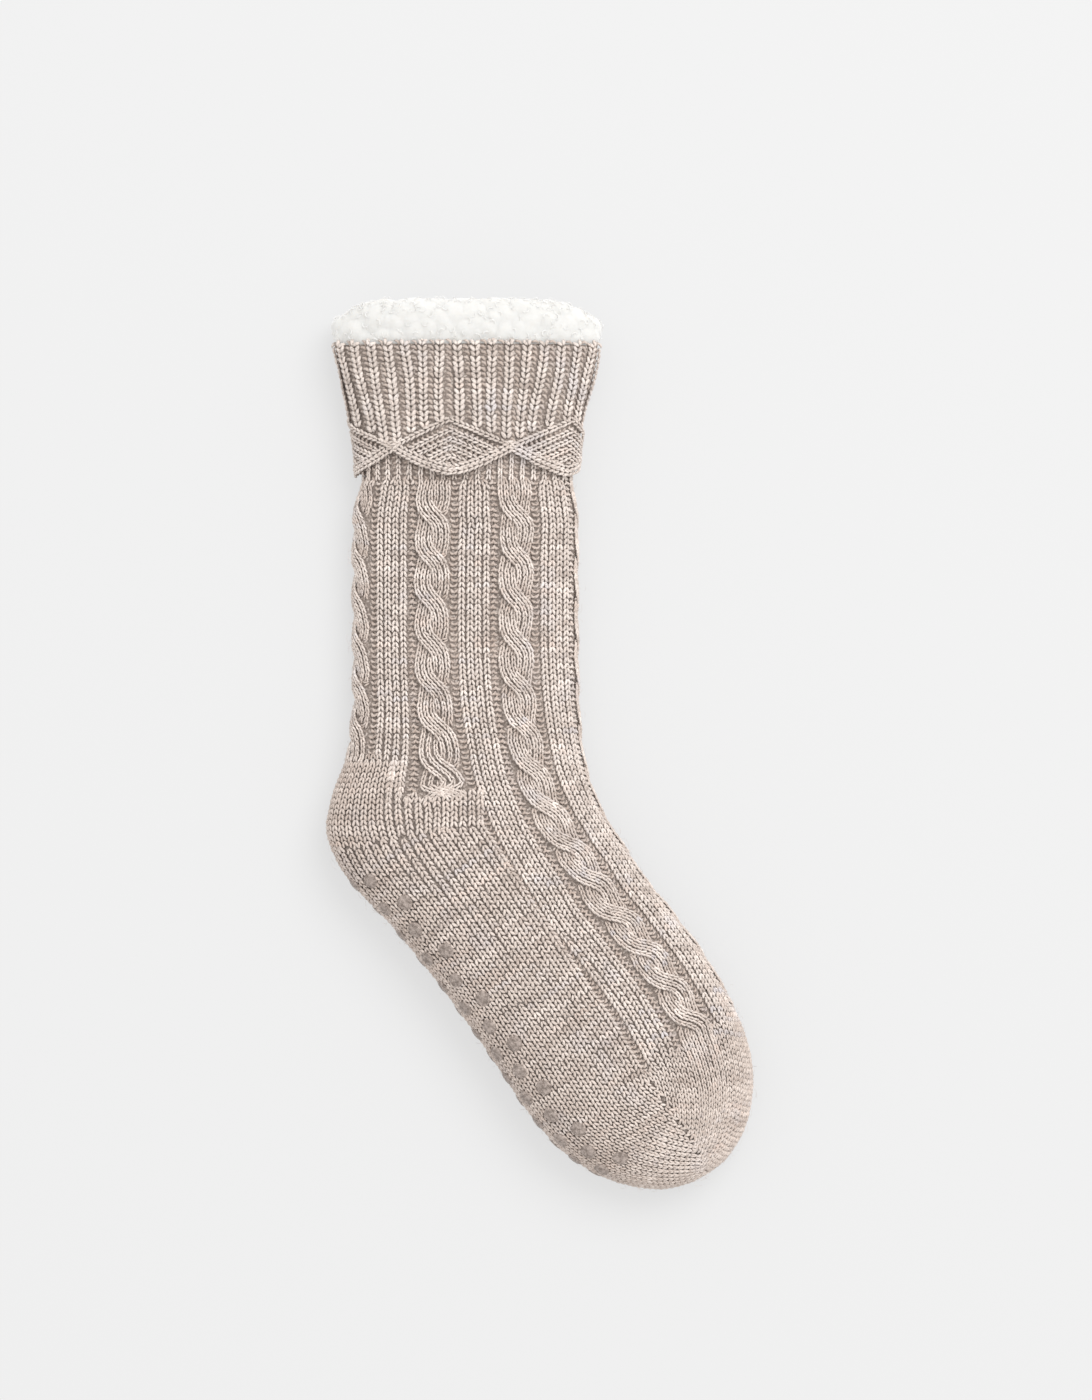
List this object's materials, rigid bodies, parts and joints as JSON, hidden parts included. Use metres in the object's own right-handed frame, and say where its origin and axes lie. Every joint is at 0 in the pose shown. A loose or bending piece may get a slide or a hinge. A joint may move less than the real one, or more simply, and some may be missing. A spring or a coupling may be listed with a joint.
{
  "type": "slipper sock",
  "caption": "Cable-knit slipper sock lying on its side, with a turned-down ribbed cuff, a pile lining and a sole with grip dots.",
  "frame": {"origin": "middle of the footprint, on the surface that the sock lies on", "axes": "+Y up the leg to the collar, +X to the side that the foot turns to, +Z away from the surface that it lies on"},
  "size_m": [0.2022, 0.423, 0.048],
  "materials": {
    "knit": "oatmeal melange wool-blend cable knit, matt",
    "rib": "oatmeal melange ribbed knit, matt",
    "pile": "off-white sherpa pile, soft and lumpy",
    "grip": "translucent grey-brown silicone print, satin"
  },
  "bodies": {
    "root": {"knit_body": "knit", "turned_cuff": "rib", "sherpa_lining": "pile", "grip_dot_01": "grip", "grip_dot_02": "grip", "grip_dot_03": "grip", "grip_dot_04": "grip", "grip_dot_05": "grip", "grip_dot_06": "grip", "grip_dot_07": "grip", "grip_dot_08": "grip", "grip_dot_09": "grip", "grip_dot_10": "grip", "grip_dot_11": "grip", "grip_dot_12": "grip", "grip_dot_13": "grip", "grip_dot_14": "grip", "grip_dot_15": "grip", "grip_dot_16": "grip", "grip_dot_17": "grip", "grip_dot_18": "grip", "grip_dot_19": "grip", "grip_dot_20": "grip", "grip_dot_21": "grip", "grip_dot_22": "grip", "grip_dot_23": "grip", "grip_dot_24": "grip", "grip_dot_25": "grip", "grip_dot_26": "grip", "grip_dot_27": "grip", "grip_dot_28": "grip", "grip_dot_29": "grip", "grip_dot_30": "grip", "grip_dot_31": "grip", "grip_dot_32": "grip", "grip_dot_33": "grip", "grip_dot_34": "grip", "grip_dot_35": "grip", "grip_dot_36": "grip", "grip_dot_37": "grip", "grip_dot_38": "grip", "grip_dot_39": "grip", "grip_dot_40": "grip", "grip_dot_41": "grip", "grip_dot_42": "grip"}
  },
  "joints": []
}
